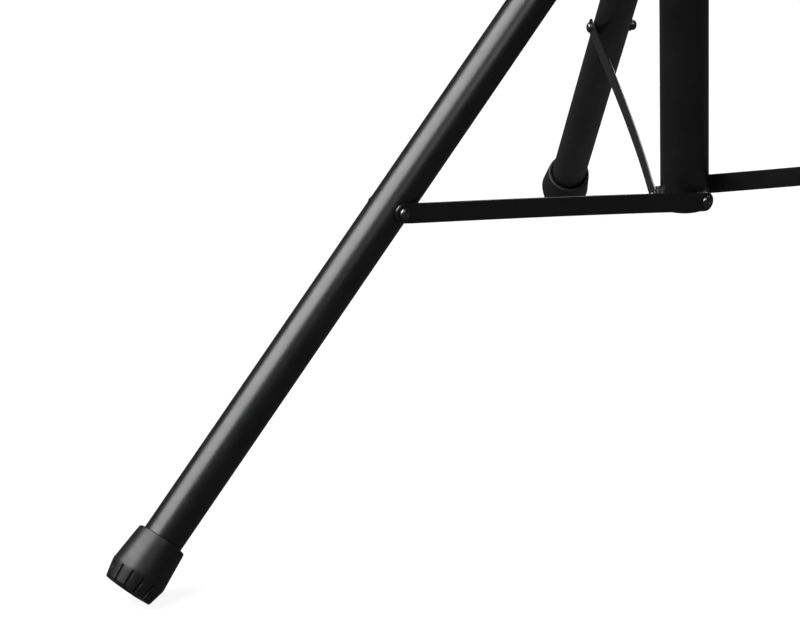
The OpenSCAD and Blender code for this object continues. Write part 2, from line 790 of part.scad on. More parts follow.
in_row() lower_tube();
in_row() lower_tube_plug();
in_row() brace_standoffs();
in_row() brace_rivets();
in_row() hub_stop_ring();
in_row() height_clamp_body();
in_row() height_clamp_bushing();
in_row() height_clamp_screws();
in_row() height_knob();
in_row() height_knob_stud();
in_row() leg_hub();
in_row() hub_liner();
in_row() hub_clamp_pad();
in_row() hub_bolts();
in_row() hub_nuts();
in_row() hub_washers();
in_row() hub_knob();
in_row() hub_knob_stud();
for (leg = legs) {
    in_row() leg_tube(leg[1]);
    in_row() leg_plug(leg[1]);
    in_row() foot(leg[1]);
    in_row() knee_bolt(leg[1]);
    in_row() knee_nut(leg[1]);
    in_row() brace(leg[1]);
    in_row() brace_bolt_head(leg[1]);
}
in_row() upper_tube_bushing();
in_row() upper_tube();
in_row() tilt_head();
in_row() tilt_friction_washers();
in_row() desk_panel();
in_row() desk_bracket();
in_row() desk_rivets();
in_row() tilt_bolt();
in_row() tilt_bolt_washer();
in_row() tilt_knob();
in_row() tilt_knob_insert();
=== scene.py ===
"""Looks of the folding music stand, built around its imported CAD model: metres, +Z up, the row's own frame."""

import json
import math

import bmesh
import bpy
from mathutils import Matrix, Vector


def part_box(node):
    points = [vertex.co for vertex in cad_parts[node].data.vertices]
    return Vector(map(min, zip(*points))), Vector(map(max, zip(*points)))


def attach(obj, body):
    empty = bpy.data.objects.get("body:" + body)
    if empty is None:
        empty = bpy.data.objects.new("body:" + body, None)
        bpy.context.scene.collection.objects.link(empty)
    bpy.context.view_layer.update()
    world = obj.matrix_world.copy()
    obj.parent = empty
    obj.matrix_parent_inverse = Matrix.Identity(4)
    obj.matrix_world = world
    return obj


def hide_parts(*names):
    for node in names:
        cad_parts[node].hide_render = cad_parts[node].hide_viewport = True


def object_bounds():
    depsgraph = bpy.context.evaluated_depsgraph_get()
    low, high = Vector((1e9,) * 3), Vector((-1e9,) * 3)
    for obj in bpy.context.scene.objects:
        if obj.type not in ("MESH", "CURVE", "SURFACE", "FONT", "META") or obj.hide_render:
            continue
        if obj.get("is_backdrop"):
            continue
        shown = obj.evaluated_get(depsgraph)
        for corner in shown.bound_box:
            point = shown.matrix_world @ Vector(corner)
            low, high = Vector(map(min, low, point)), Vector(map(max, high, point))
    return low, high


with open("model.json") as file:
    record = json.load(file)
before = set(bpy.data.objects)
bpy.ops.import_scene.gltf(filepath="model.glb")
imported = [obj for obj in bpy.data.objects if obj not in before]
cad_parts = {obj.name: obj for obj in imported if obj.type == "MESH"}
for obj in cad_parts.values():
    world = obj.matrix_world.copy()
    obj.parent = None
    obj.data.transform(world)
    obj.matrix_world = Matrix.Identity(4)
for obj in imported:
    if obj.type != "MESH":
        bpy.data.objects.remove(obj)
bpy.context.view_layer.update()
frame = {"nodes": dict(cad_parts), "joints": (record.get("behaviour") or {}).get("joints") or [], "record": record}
scene = bpy.context.scene
MM = 0.001
Z = Vector((0, 0, 1))


# ---------- places, all worked out from the frame ----------

JOINTS = {j["name"]: j for j in frame["joints"]}
SIDES = ("front_left", "front_right", "rear")


def middle(node):
    low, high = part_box(node)
    return (low + high) / 2


COLUMN = Vector(JOINTS["rear_brace_fold"]["pos_m"])
COLUMN.z = 0


def span(node, origin, axis):
    """Lowest and highest place of a CAD node along an axis through origin."""
    along = [(v.co - origin).dot(axis) for v in frame["nodes"][node].data.vertices]
    return min(along), max(along)


def reach(node, origin, axis):
    """Largest distance of a CAD node from an axis, in millimetres."""
    away = [v.co - origin for v in frame["nodes"][node].data.vertices]
    return max((v - axis * v.dot(axis)).length for v in away) / MM


def axes(origin, z, x):
    """Matrix whose Z runs along z and whose X lies in the plane of z and x."""
    z = z.normalized()
    x = (x - z * x.dot(z)).normalized()
    y = z.cross(x)
    return Matrix(((x[0], y[0], z[0], origin[0]), (x[1], y[1], z[1], origin[1]),
                   (x[2], y[2], z[2], origin[2]), (0, 0, 0, 1)))


class Leg:
    """Directions and points of one leg: out and left are level, down runs along it from its hub pivot."""

    def __init__(self, side):
        joint = JOINTS[side + "_leg_fold"]
        angle = math.radians(joint["range_deg"][1])
        self.side = side
        self.pivot = Vector(joint["pos_m"])
        self.out = (self.pivot - COLUMN - Z * self.pivot.z).normalized()
        self.left = Z.cross(self.out)
        self.down = self.out * math.sin(angle) - Z * math.cos(angle)
        self.knee = (middle(side + "_knee_bolt") - self.pivot).dot(self.down) * self.down + self.pivot
        self.rivet = Vector(JOINTS[side + "_brace_fold"]["pos_m"])
        self.along = (self.knee - self.rivet).normalized()
        self.brace_length = (self.knee - self.rivet).length


LEGS = [Leg(side) for side in SIDES]


# ---------- mesh helpers ----------

def finish_mesh(name, bm, body, material, place=None, sharp=35.0):
    """Turns a bmesh into a shaded piece that rides on a body."""
    if place is not None:
        bmesh.ops.transform(bm, matrix=place, verts=bm.verts)
    bmesh.ops.recalc_face_normals(bm, faces=bm.faces)
    mesh = bpy.data.meshes.new(name)
    bm.to_mesh(mesh)
    bm.free()
    mesh.materials.append(material)
    mesh.shade_smooth()
    mesh.set_sharp_from_angle(angle=math.radians(sharp))
    piece = bpy.data.objects.new(name, mesh)
    scene.collection.objects.link(piece)
    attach(piece, body)
    return piece


def soften(corners, steps=4):
    """Outline with rounded corners, given as (x, y, cut): cut is how far back the corner's curve starts."""
    outline = []
    count = len(corners)
    for i, (x, y, cut) in enumerate(corners):
        here = Vector((x, y))
        before = Vector(corners[i - 1][:2]) - here
        after = Vector(corners[(i + 1) % count][:2]) - here
        if cut <= 0 or before.length < 1e-9 or after.length < 1e-9:
            outline.append(here)
            continue
        start = here + before.normalized() * min(cut, before.length * 0.49)
        end = here + after.normalized() * min(cut, after.length * 0.49)
        for k in range(steps + 1):
            t = k / steps
            outline.append(start * (1 - t) ** 2 + here * (2 * t * (1 - t)) + end * t * t)
    return outline


def lathe(bm, outline, segments=96, closed=False, place=None, radius=None):
    """Turns an outline of (radius, height) points about Z; radius(r, z, angle) may reshape it."""
    rings = []
    for r, z in outline:
        if r < 1e-7:
            rings.append([bm.verts.new((0, 0, z))])
            continue
        ring = []
        for i in range(segments):
            a = 2 * math.pi * i / segments
            rr, zz = radius(r, z, a) if radius else (r, z)
            ring.append(bm.verts.new((rr * math.cos(a), rr * math.sin(a), zz)))
        rings.append(ring)
    pairs = list(zip(rings, rings[1:])) + ([(rings[-1], rings[0])] if closed else [])
    for low, high in pairs:
        if len(low) == 1 and len(high) == 1:
            continue
        for i in range(segments):
            j = (i + 1) % segments
            if len(low) == 1:
                bm.faces.new((low[0], high[i], high[j]))
            elif len(high) == 1:
                bm.faces.new((low[i], low[j], high[0]))
            else:
                bm.faces.new((low[i], low[j], high[j], high[i]))
    verts = [v for ring in rings for v in ring]
    if place is not None:
        bmesh.ops.transform(bm, matrix=place, verts=verts)
    return verts


def dense(outline, step):
    """The same outline with its long runs split into steps."""
    result = []
    for a, b in zip(outline, outline[1:]):
        count = max(1, math.ceil((b - a).length / step))
        result += [a.lerp(b, k / count) for k in range(count)]
    return result + [outline[-1]]


def turn(bm, corners, place=None, segments=96, closed=False, steps=4, radius=None, step=None):
    """Turned solid from corners (radius, height, cut) in millimetres; radius(r, z, angle) reshapes it."""
    outline = soften(corners, steps)
    if step:
        outline = dense(outline, step)

    def in_metres(r, z, angle):
        new_r, new_z = radius(r / MM, z / MM, angle)
        return new_r * MM, new_z * MM

    points = [(p.x * MM, p.y * MM) for p in outline]
    return lathe(bm, points, segments, closed, place, in_metres if radius else None)


def hexagon(across, angle):
    """Radius of a hexagon, given across its corners, in one direction; a corner points along X."""
    away = angle % (math.pi / 3) - math.pi / 6
    return across / 2 * math.cos(math.pi / 6) / math.cos(away)


def ball_cap(radius, height, z, inner, count=8):
    """Corners of a domed top from its edge in to radius inner."""
    ball = (radius * radius + height * height) / (2 * height)
    points = []
    for k in range(count + 1):
        r = radius + (inner - radius) * k / count
        points.append((r, z + height - ball + math.sqrt(ball * ball - r * r), 0))
    return points


def made(name, bm, body, slot, place=None, replaces=None, sharp=35.0, material=None):
    """Finishes a bmesh with its slot's material and hides the CAD node that it stands for."""
    piece = finish_mesh(name, bm, body, material or SLOT_MATERIAL[slot], place, sharp)
    if replaces:
        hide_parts(replaces)
    return piece


def from_cad(name, node, body, material, voxel, smoothing=4, keep=0.35):
    """The CAD node's shape as a moulded or cast piece: every edge and inner corner gets a small radius."""
    source = frame["nodes"][node].data.copy()
    bm = bmesh.new()
    bm.from_mesh(source)
    bmesh.ops.remove_doubles(bm, verts=bm.verts, dist=1e-6)
    bm.to_mesh(source)
    bm.free()
    piece = bpy.data.objects.new(name + ".source", source)
    scene.collection.objects.link(piece)
    remesh = piece.modifiers.new("remesh", "REMESH")
    remesh.mode = "VOXEL"
    remesh.voxel_size = voxel
    smooth = piece.modifiers.new("smooth", "SMOOTH")
    smooth.factor = 0.5
    smooth.iterations = smoothing
    thin = piece.modifiers.new("thin", "DECIMATE")
    thin.ratio = keep
    bpy.context.view_layer.update()
    result = bpy.data.meshes.new_from_object(piece.evaluated_get(bpy.context.evaluated_depsgraph_get()))
    bpy.data.objects.remove(piece)
    bm = bmesh.new()
    bm.from_mesh(result)
    bpy.data.meshes.remove(result)
    cast = finish_mesh(name, bm, body, material, None, 60.0)
    cast.data.materials.clear()
    cast.data.materials.append(material)
    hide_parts(node)


# ---------- materials ----------

class Shader:
    """A Principled material with the node helpers that the finishes share."""

    def __init__(self, name, **sockets):
        self.material = bpy.data.materials.new(name)
        self.material.use_nodes = True
        self.nodes = self.material.node_tree.nodes
        self.links = self.material.node_tree.links
        self.bsdf = self.nodes["Principled BSDF"]
        for socket, value in sockets.items():
            self.bsdf.inputs[socket.replace("_", " ")].default_value = value
        self.coords = self.nodes.new("ShaderNodeTexCoord").outputs["Object"]

    def node(self, kind, **settings):
        made = self.nodes.new("ShaderNode" + kind)
        for key, value in settings.items():
            setattr(made, key, value)
        return made

    def noise(self, scale, detail=2.0, rough=0.5, stretch=None):
        """Noise whose scale is in cells per metre."""
        made = self.node("TexNoise")
        made.inputs["Scale"].default_value = scale
        made.inputs["Detail"].default_value = detail
        made.inputs["Roughness"].default_value = rough
        source = self.coords
        if stretch:
            mapping = self.node("Mapping")
            mapping.inputs["Scale"].default_value = stretch
            self.links.new(self.coords, mapping.inputs["Vector"])
            source = mapping.outputs["Vector"]
        self.links.new(source, made.inputs["Vector"])
        return made.outputs["Fac"]

    def cells(self, scale):
        made = self.node("TexVoronoi")
        made.inputs["Scale"].default_value = scale
        self.links.new(self.coords, made.inputs["Vector"])
        return made.outputs["Distance"]

    def ramp(self, value, low, high, to_low, to_high):
        made = self.node("MapRange")
        for socket, number in zip(("From Min", "From Max", "To Min", "To Max"), (low, high, to_low, to_high)):
            made.inputs[socket].default_value = number
        self.links.new(value, made.inputs["Value"])
        return made.outputs["Result"]

    def colours(self, value, *stops):
        made = self.node("ValToRGB")
        ramp = made.color_ramp
        while len(ramp.elements) < len(stops):
            ramp.elements.new(0.5)
        for element, (place, colour) in zip(ramp.elements, stops):
            element.position = place
            element.color = (*colour, 1)
        self.links.new(value, made.inputs["Fac"])
        self.links.new(made.outputs["Color"], self.bsdf.inputs["Base Color"])

    def roughness(self, value):
        self.links.new(value, self.bsdf.inputs["Roughness"])

    def bump(self, *layers):
        """Stacks bumps of (height value, depth in metres, strength)."""
        normal = None
        for height, depth, strength in layers:
            made = self.node("Bump")
            made.inputs["Distance"].default_value = depth
            made.inputs["Strength"].default_value = strength
            self.links.new(height, made.inputs["Height"])
            if normal:
                self.links.new(normal, made.inputs["Normal"])
            normal = made.outputs["Normal"]
        self.links.new(normal, self.bsdf.inputs["Normal"])


def grey(value, blue=1.0):
    return (value, value, value * blue)


def powder_coat(name, tone, rough, peel=1.0):
    """Satin black powder coat: soft orange peel, a fine grain, faint cloudiness in its gloss."""
    s = Shader(name, Specular_IOR_Level=0.5)
    cloud = s.noise(45, 3)
    s.colours(cloud, (0.3, grey(tone * 0.8, 1.02)), (0.7, grey(tone * 1.2, 1.06)))
    s.roughness(s.ramp(s.noise(160, 4), 0.3, 0.7, rough - 0.03, rough + 0.035))
    s.bump((s.noise(620, 2), 0.00006 * peel, 0.5), (s.noise(2600, 2), 0.000015 * peel, 0.5))
    return s.material


def moulded_plastic(name, tone, rough, grain=1500):
    """Moulded plastic with a fine spark-eroded grain."""
    s = Shader(name)
    s.colours(s.noise(90, 3), (0.3, grey(tone * 0.85)), (0.7, grey(tone * 1.15)))
    s.roughness(s.ramp(s.noise(400, 3), 0.3, 0.7, rough - 0.04, rough + 0.05))
    s.bump((s.cells(grain), 0.00004, 0.6), (s.noise(grain * 2.5, 2), 0.00001, 0.5))
    return s.material


def rubber(name, tone, rough):
    """Moulded rubber: matt skin with a soft bloom and fine pores."""
    s = Shader(name, Specular_IOR_Level=0.36)
    s.colours(s.noise(130, 5, 0.6), (0.3, grey(tone * 0.75)), (0.62, grey(tone)), (0.8, grey(tone * 1.6)))
    s.roughness(s.ramp(s.noise(260, 4), 0.3, 0.7, rough - 0.05, rough + 0.06))
    s.bump((s.noise(900, 3), 0.00006, 0.5), (s.cells(2600), 0.00002, 0.4))
    return s.material


def worn_steel(name, dark, light, rough):
    """Blackened or plated steel, with fine turning marks and rubbed patches."""
    s = Shader(name, Metallic=1.0)
    rubbed = s.noise(420, 5, 0.65)
    s.colours(rubbed, (0.35, dark), (0.75, light))
    s.roughness(s.ramp(s.noise(900, 4), 0.3, 0.7, rough - 0.06, rough + 0.08))
    s.bump((s.noise(1600, 3, stretch=(1, 1, 6)), 0.00002, 0.5))
    return s.material


PAINT = powder_coat("black_powder_coat", 0.0042, 0.33)
DESK_PAINT = powder_coat("black_desk_coat", 0.0060, 0.40, 1.3)
HUB_PAINT = powder_coat("black_cast_coat", 0.0060, 0.40, 1.6)
KNOB_PLASTIC = moulded_plastic("black_knob_plastic", 0.010, 0.42)
LINER = moulded_plastic("dark_liner_plastic", 0.05, 0.38)
WASHER = moulded_plastic("pale_washer_plastic", 0.70, 0.35)
RUBBER = rubber("black_foot_rubber", 0.006, 0.39)
BLACK_STEEL = worn_steel("blackened_steel", grey(0.10), grey(0.24), 0.30)
BARE_STEEL = worn_steel("zinc_plated_steel", grey(0.50, 1.02), grey(0.66, 1.03), 0.28)
BRASS = worn_steel("turned_brass", (0.55, 0.36, 0.12), (0.78, 0.56, 0.24), 0.30)
FIBRE = moulded_plastic("pressed_fibre", 0.16, 0.75, 900)

SLOT_MATERIAL = {
    "black_paint": PAINT, "black_plastic": KNOB_PLASTIC, "liner_plastic": LINER, "washer_plastic": WASHER,
    "friction_fibre": FIBRE, "foot_rubber": RUBBER, "black_steel": BLACK_STEEL, "bare_steel": BARE_STEEL,
    "brass": BRASS,
}
for part in frame["record"]["subparts"]:
    cad_mesh = frame["nodes"][part["node"]].data
    cad_mesh.materials.clear()
    cad_mesh.materials.append(SLOT_MATERIAL[part["material_slot"]])


# ---------- round tubes ----------

def tube(name, node, body, origin, axis, wall=1.5, rim=0.35):
    """Round tube in place of a CAD tube, with its two rims rounded."""
    low, high = (v / MM for v in span(node, origin, axis))
    outer = reach(node, origin, axis)
    bm = bmesh.new()
    turn(bm, [(outer, low, rim), (outer, high, rim), (outer - wall, high, rim), (outer - wall, low, rim)],
         segments=144, closed=True)
    made(name, bm, body, "black_paint", axes(origin, axis, axis.orthogonal()), node)


tube("lower_column_tube", "lower_tube", "stand_base", COLUMN, Z)
tube("upper_column_tube", "upper_tube", "column", COLUMN, Z)
for leg in LEGS:
    tube(leg.side + "_tube", leg.side + "_leg_tube", leg.side + "_leg", leg.pivot, leg.down)

COLUMN_R = reach("lower_tube", COLUMN, Z)
LEG_R = reach("rear_leg_tube", LEGS[2].pivot, LEGS[2].down)


# ---------- rubber feet ----------

FOOT_LENGTH = 28.4
FOOT_RIM = 12.3
FOOT_BELLY = 14.05
FOOT_END = 12.27
FOOT_FLOOR = 7.0
FOOT_GROOVES = 14
GROOVE_TOP = 7.4
GROOVE_FADE = 0.8
GROOVE_DEPTH = 1.0
GROOVE_HALF = 0.62


def grooved(r, z, angle):
    """Cuts short upright grooves into the foot's tapering lower band."""
    if r < FOOT_END - 1.3 or z > GROOVE_TOP + 1.2:
        return r, z
    place = angle * FOOT_GROOVES / (2 * math.pi)
    off = abs(place - round(place)) * 2 * math.pi / FOOT_GROOVES * r
    across = max(0.0, 1 - (off / GROOVE_HALF) ** 4)
    run = 1.0 if z < GROOVE_TOP else max(0.0, 1 - (z - GROOVE_TOP) / GROOVE_FADE)
    return r - GROOVE_DEPTH * across * run, z


def foot(leg):
    """Ribbed rubber foot: flaring sleeve, rounded belly, tapering band of grooves, a dished end face."""
    node = leg.side + "_foot"
    # the floor has worn the end face, so the foot is placed from its top rim
    rim = span(node, leg.pivot, leg.down)[0]
    place = axes(leg.pivot + leg.down * (rim + FOOT_LENGTH * MM), -leg.down, leg.left)
    corners = [
        (0, 0.9, 0), (6.2, 0.9, 0.3), (6.8, 0, 0.3), (FOOT_END - 0.35, 0, 0.2), (FOOT_END, 0.5, 0.2),
        (FOOT_BELLY - 0.22, 7.5, 1.0), (FOOT_BELLY, 9.1, 1.0), (FOOT_BELLY - 0.2, 11.2, 1.4),
        (FOOT_RIM + 0.32, 25.6, 0.6), (FOOT_RIM, FOOT_LENGTH - 0.35, 0.25),
        (FOOT_RIM - 0.4, FOOT_LENGTH, 0.2), (LEG_R + 0.7, FOOT_LENGTH, 0.3),
        (LEG_R + 0.06, FOOT_LENGTH - 0.8, 0.3),
        (LEG_R + 0.06, FOOT_FLOOR, 0.3), (0, FOOT_FLOOR, 0),
    ]
    bm = bmesh.new()
    turn(bm, corners, segments=FOOT_GROOVES * 30, radius=grooved, step=0.8)
    up = place.inverted().to_3x3() @ Z
    for v in bm.verts:
        height = (place @ v.co).z
        if height < 0:
            v.co += up * -height
    made(leg.side + "_rubber_foot", bm, leg.side + "_leg", "foot_rubber", place, node, 40.0)


for leg in LEGS:
    foot(leg)


# ---------- braces and their pivots ----------

BRACE_HALF = 4.9
BRACE_T = 1.5
BRACE_EDGE, BRACE_NOSE = 0.3, 1.1


def bar_outline(length, inset):
    """Stadium outline of the flat bar, moved in by inset: (x, z, edge radius) at each point."""
    points = []
    half = BRACE_HALF - inset
    for end, centre, nose in ((1, length, BRACE_NOSE), (-1, 0.0, BRACE_EDGE)):
        arc = [math.pi * k / 28 - math.pi / 2 for k in range(29)]
        shoulder = centre - end * 5
        points.append((shoulder, -end * half, BRACE_EDGE))
        points += [(centre + end * half * math.cos(a), end * half * math.sin(a), nose) for a in arc]
        points.append((shoulder, end * half, BRACE_EDGE))
    return points


def brace(leg):
    """Flat bar with eased edges and a domed nose at the leg, curving out from the leg to the column."""
    node = leg.side + "_brace"
    length = leg.brace_length / MM
    low, high = (v / MM for v in span(node, leg.rivet, leg.left))
    near_leg, near_post = low + BRACE_T / 2, high - BRACE_T / 2
    pad = BRACE_HALF + 1.4
    bm = bmesh.new()
    loops = []
    insets = [(inset, -1) for inset in (0.35, 0.12, 0.0)]
    insets += [(inset, 1) for inset in (0.0, 0.06, 0.18, 0.36, 0.65, BRACE_NOSE)]
    for inset, side in insets:
        loop = []
        for x, z, edge in bar_outline(length, inset):
            edge = edge if side > 0 else BRACE_EDGE
            fall = edge - math.sqrt(max(edge ** 2 - (edge - inset) ** 2, 0)) if inset < edge else 0
            loop.append(bm.verts.new((x * MM, side * (BRACE_T / 2 - fall) * MM, z * MM)))
        loops.append(loop)
    for a, b in zip(loops, loops[1:]):
        for i in range(len(a)):
            k = (i + 1) % len(a)
            bm.faces.new((a[i], a[k], b[k], b[i]))
    bm.faces.new(loops[0])
    bm.faces.new(loops[-1])
    for k in range(1, 48):
        x = length * k / 48 * MM
        everything = bm.verts[:] + bm.edges[:] + bm.faces[:]
        bmesh.ops.bisect_plane(bm, geom=everything, plane_co=(x, 0, 0), plane_no=(1, 0, 0))
    for v in bm.verts:
        t = min(max((v.co.x / MM - pad) / (length - 2 * pad), 0), 1)
        v.co.y += (near_leg + (near_post - near_leg) * (1 - t) ** 3) * MM
    up = leg.along.cross(leg.left)
    place = Matrix.Identity(4)
    for row in range(3):
        place[row][0], place[row][1] = leg.along[row], leg.left[row]
        place[row][2], place[row][3] = up[row], leg.rivet[row]
    made(leg.side + "_flat_brace", bm, leg.side + "_brace", "black_paint", place, node, 40.0)
    return low, high


def dome(bm, place, radius, height, foot_z, dimple=0.8):
    """Domed head with a low shoulder and a pressed dimple, in millimetres, standing on foot_z."""
    corners = [(0, foot_z, 0), (radius, foot_z, 0.1), (radius, foot_z + 0.5, 0.25)]
    for k in range(1, 8):
        a = k / 8 * math.pi / 2
        corners.append((radius * 0.98 * math.cos(a), foot_z + 0.45 + (height - 0.45) * math.sin(a), 0.15))
    top = foot_z + height
    corners += [(dimple + 0.1, top - 0.02, 0.1), (dimple * 0.75, top - 0.3, 0.1), (0, top - 0.42, 0)]
    turn(bm, corners, place, 64, steps=3)


def shank(bm, place, radius, low, high):
    turn(bm, [(0, low, 0), (radius, low, 0.3), (radius, high, 0.3), (0, high, 0)], place, 48, steps=3)


def threaded(radius, pitch, depth=0.4):
    """A screw thread for turn(): the surface runs up and down along a helix."""
    def shape(r, z, angle):
        if r < radius - 0.05:
            return r, z
        phase = (z / pitch - angle / (2 * math.pi)) % 1.0
        return r - depth * abs(2 * phase - 1), z
    return shape


BOLT_R, BOLT_HEAD_R, RIVET_R, RIVET_HEAD_R, DOME_H = 2.5, 2.95, 2.4, 3.1, 2.0
NUT_R, NUT_FLANGE_R, STANDOFF_R, STANDOFF_BORE_R = 3.0, 3.4, 5.3, 2.46

rivets, standoffs = bmesh.new(), bmesh.new()
for leg in LEGS:
    near_leg, outer = brace(leg)
    at_leg, at_column = axes(leg.knee, leg.left, leg.along), axes(leg.rivet, leg.left, leg.along)
    head_z = near_leg + BRACE_T + 0.05
    bm = bmesh.new()
    dome(bm, None, BOLT_HEAD_R, DOME_H, head_z)
    shank(bm, None, BOLT_R, near_leg, head_z + 0.2)
    made(leg.side + "_brace_head", bm, leg.side + "_brace", "black_steel", at_leg,
         leg.side + "_brace_bolt_head")

    bm = bmesh.new()
    foot_z = LEG_R + 0.06
    corners = [
        (BOLT_R + 0.05, foot_z, 0.1), (NUT_FLANGE_R, foot_z, 0.15), (NUT_FLANGE_R, foot_z + 0.75, 0.25),
        (NUT_R, foot_z + 0.95, 0.15), (NUT_R, foot_z + 2.2, 0.1),
    ]
    for k in range(1, 8):
        a = k / 8 * math.pi / 2
        corners.append((NUT_R * math.cos(a), foot_z + 2.2 + 1.95 * math.sin(a), 0.15))
    corners.append((0, foot_z + 4.15, 0))
    turn(bm, corners, axes(Vector((0, 0, 0)), -Z, Vector((1, 0, 0))), 64, steps=3)
    made(leg.side + "_cap_nut", bm, leg.side + "_leg", "black_steel", at_leg, leg.side + "_knee_nut")

    bm = bmesh.new()
    shank(bm, None, BOLT_R, -LEG_R - 2.5, LEG_R - 0.1)
    made(leg.side + "_knee_shank", bm, leg.side + "_leg", "black_steel", at_leg, leg.side + "_knee_bolt")

    dome(rivets, at_column, RIVET_HEAD_R, DOME_H, outer + 0.1, 0.7)
    shank(rivets, at_column, RIVET_R, 7.0, outer + 0.3)
    face = outer - BRACE_T - 0.05
    inner = COLUMN_R - 1.3
    turn(standoffs, [
        (STANDOFF_BORE_R, inner, 0), (STANDOFF_R, inner, 0), (STANDOFF_R, face, 0.35),
        (STANDOFF_BORE_R, face, 0.1),
    ], at_column, 72, True)
made("column_rivets", rivets, "stand_base", "black_steel", None, "brace_rivets")
made("column_standoffs", standoffs, "stand_base", "black_paint", None, "brace_standoffs")


# ---------- column plug, liner, bushings ---------------------

low, high = (v / MM for v in span("lower_tube_plug", COLUMN, Z))
bm = bmesh.new()
turn(bm, [
    (0, low + 0.5, 0), (4.2, low + 0.5, 0.2), (4.6, low, 0.2), (COLUMN_R - 1.2, low, 0.6),
    (COLUMN_R - 0.3, low + 0.55, 0.5), (COLUMN_R - 0.04, low + 1.42, 0.1),
    (COLUMN_R - 1.58, low + 1.42, 0.1), (COLUMN_R - 1.58, high, 0.5),
    (6.5, high, 0.4), (6.5, low + 1.5, 0.4), (0, low + 1.5, 0),
])
made("column_end_plug", bm, "stand_base", "black_plastic", Matrix.Translation(COLUMN), "lower_tube_plug")

low, high = (v / MM for v in span("hub_liner", COLUMN, Z))
bm = bmesh.new()
turn(bm, [
    (COLUMN_R + 0.06, low, 0.3), (13.74, low, 0.4), (13.74, high - 1.0, 0.1), (14.95, high - 1.0, 0.2),
    (14.95, high, 0.4), (COLUMN_R + 0.06, high, 0.4),
], closed=True)
made("hub_liner_sleeve", bm, "hub", "liner_plastic", Matrix.Translation(COLUMN), "hub_liner")

low, high = (v / MM for v in span("upper_tube_bushing", COLUMN, Z))
wide, narrow = reach("upper_tube_bushing", COLUMN, Z), reach("upper_tube", COLUMN, Z) - 1.55
bm = bmesh.new()
turn(bm, [
    (5.0, low, 0.3), (wide - 0.9, low, 0.4), (wide, low + 1.6, 0.4), (wide, low + 13.9, 0.4),
    (narrow, low + 13.95, 0.1), (narrow, high, 0.5), (5.0, high, 0.3),
], closed=True)
made("sliding_bushing", bm, "height_slider", "liner_plastic", Matrix.Translation(COLUMN),
     "upper_tube_bushing")


# ---------- knobs and their studs ----------

STEM_R, STEM_H, GRIP_R, GRIP_H, BORE_DEPTH = 8.0, 8.0, 15.0, 13.0, 15.5
M8_STUD_R, M8_BORE_R, M8_PITCH = 3.98, 4.06, 1.25
LOBES, HOLLOW_R, HOLLOW_AT = 5, 6.3, 18.0


def star(r, z, angle):
    """Presses five finger hollows into the grip; they fade out over its rounded edges."""
    if z < STEM_H - 0.3 or r < STEM_R + 0.05 or z > STEM_H + GRIP_H + 0.05:
        return r, z
    part = angle * LOBES / (2 * math.pi) - 0.5
    off = (part - round(part)) * 2 * math.pi / LOBES
    across = HOLLOW_AT * math.sin(off)
    if abs(across) >= HOLLOW_R:
        return r, z
    limit = HOLLOW_AT * math.cos(off) - math.sqrt(HOLLOW_R ** 2 - across ** 2) - 0.6 * (GRIP_R - r)
    blend = max(1.4 - abs(limit - r), 0) / 1.4
    return max(min(limit, r) - blend * blend * 1.4 / 4, STEM_R), z


def knob(name, node, body, origin, axis, across, bore, pocket=None):
    """Star knob: round stem, five-lobed grip with an inset cap, bored for its stud."""
    end = [(0, BORE_DEPTH, 0), (bore, BORE_DEPTH, 0.3)]
    inner = end + [(bore, 0.6, 0.2), (bore + 0.5, 0, 0.2)]
    if pocket:
        wide, deep = pocket
        inner = end + [(bore, deep, 0.2), (wide, deep, 0.1), (wide, 0, 0.2)]
    top = STEM_H + GRIP_H
    corners = inner + [
        (STEM_R, 0, 0.5), (STEM_R, STEM_H + 0.2, 0.8), (GRIP_R - 2.2, STEM_H + 0.2, 0.8),
        (GRIP_R, STEM_H + 2.2, 1.2), (GRIP_R, top - 3.1, 1.6), (GRIP_R - 1.3, top - 1.3, 1.2),
        (GRIP_R - 4.1, top - 0.1, 1.0), (8.4, top + 0.12, 0.2), (8.2, top - 0.5, 0.15),
        (7.6, top - 0.5, 0.15), (7.4, top + 0.2, 0.2), (3.5, top + 0.55, 1.5), (0, top + 0.65, 0),
    ]
    bm = bmesh.new()
    turn(bm, corners, segments=180, radius=star, step=1.0)
    made(name, bm, body, "black_plastic", axes(origin, axis, across), node, 50.0)


def stud(name, node, body, origin, axis, radius, pitch=M8_PITCH):
    low, high = (v / MM for v in span(node, origin, axis))
    bm = bmesh.new()
    turn(bm, [(0, low, 0), (radius, low, 0.5), (radius, high, 0.5), (0, high, 0)],
         segments=48, radius=threaded(radius, pitch), step=pitch / 6)
    made(name, bm, body, "bare_steel", axes(origin, axis, axis.orthogonal()), node)


X = Vector((1, 0, 0))
Y = Vector((0, 1, 0))
hub_axis = COLUMN + Z * middle("hub_knob").z
clamp_axis = COLUMN + Z * middle("height_knob").z
stud("hub_clamp_stud", "hub_knob_stud", "hub_knob", hub_axis, -Y, M8_STUD_R)
stud("height_clamp_stud", "height_knob_stud", "height_knob", clamp_axis, X, M8_STUD_R)
hub_knob_at = hub_axis - Y * span("hub_knob", hub_axis, -Y)[0]
height_knob_at = clamp_axis + X * span("height_knob", clamp_axis, X)[0]
knob("hub_star_knob", "hub_knob", "hub_knob", hub_knob_at, -Y, X, M8_BORE_R)
knob("height_star_knob", "height_knob", "height_knob", height_knob_at, X, -Z, M8_BORE_R)


# ---------- hub and clamp ----------

HUB_FORK, WASHER_T, WASHER_AT, WASHER_R = 10.0, 0.85, 4.5, 7.5
PIVOT_R, PIVOT_BORE_R, PIVOT_HEAD_R, PIVOT_HEAD_H, PIVOT_NUT, KEY_SOCKET = 2.98, 3.06, 5.5, 2.9, 11.5, 4.6
bolts, nuts, washers = bmesh.new(), bmesh.new(), bmesh.new()


